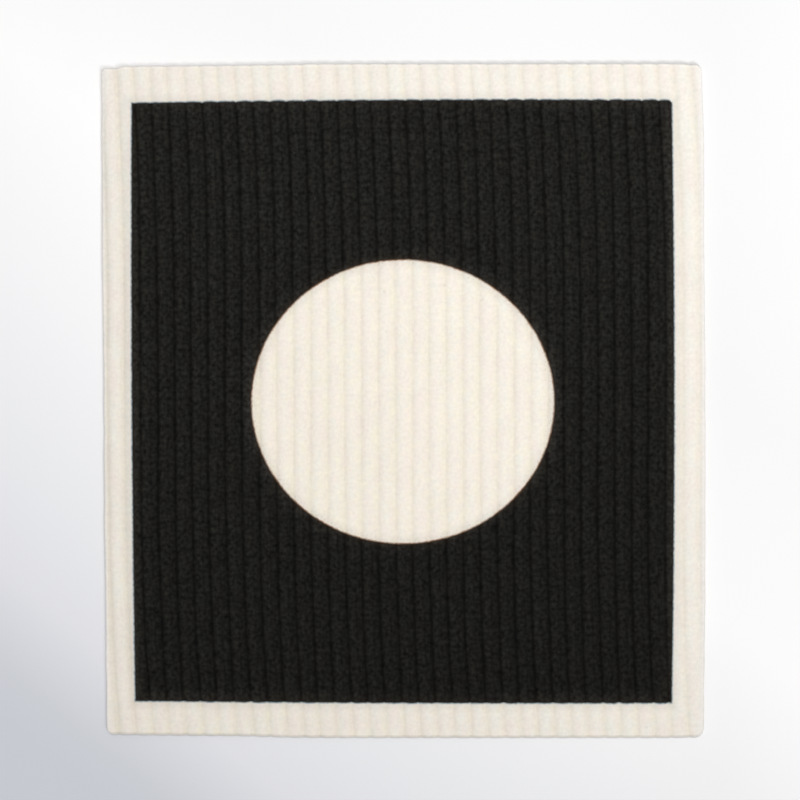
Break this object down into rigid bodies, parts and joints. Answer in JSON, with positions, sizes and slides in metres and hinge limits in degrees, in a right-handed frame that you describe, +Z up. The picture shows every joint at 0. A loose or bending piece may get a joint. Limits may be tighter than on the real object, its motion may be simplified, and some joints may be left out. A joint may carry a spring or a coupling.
{
  "type": "dish cloth",
  "caption": "Flat ribbed sponge dish cloth in cream, printed with a black field round a plain oval disc.",
  "frame": {"origin": "centre of the cut outline, on the surface that the cloth lies on", "axes": "+Z up out of the printed face, +Y along the ribs and the length, towards the upper edge of the print, +X across the ribs"},
  "size_m": [0.179, 0.2, 0.0021],
  "materials": {
    "sponge": "matt cream cellulose sponge, printed face with a matt black field"
  },
  "bodies": {
    "root": {"dish_cloth": "sponge"}
  },
  "joints": []
}
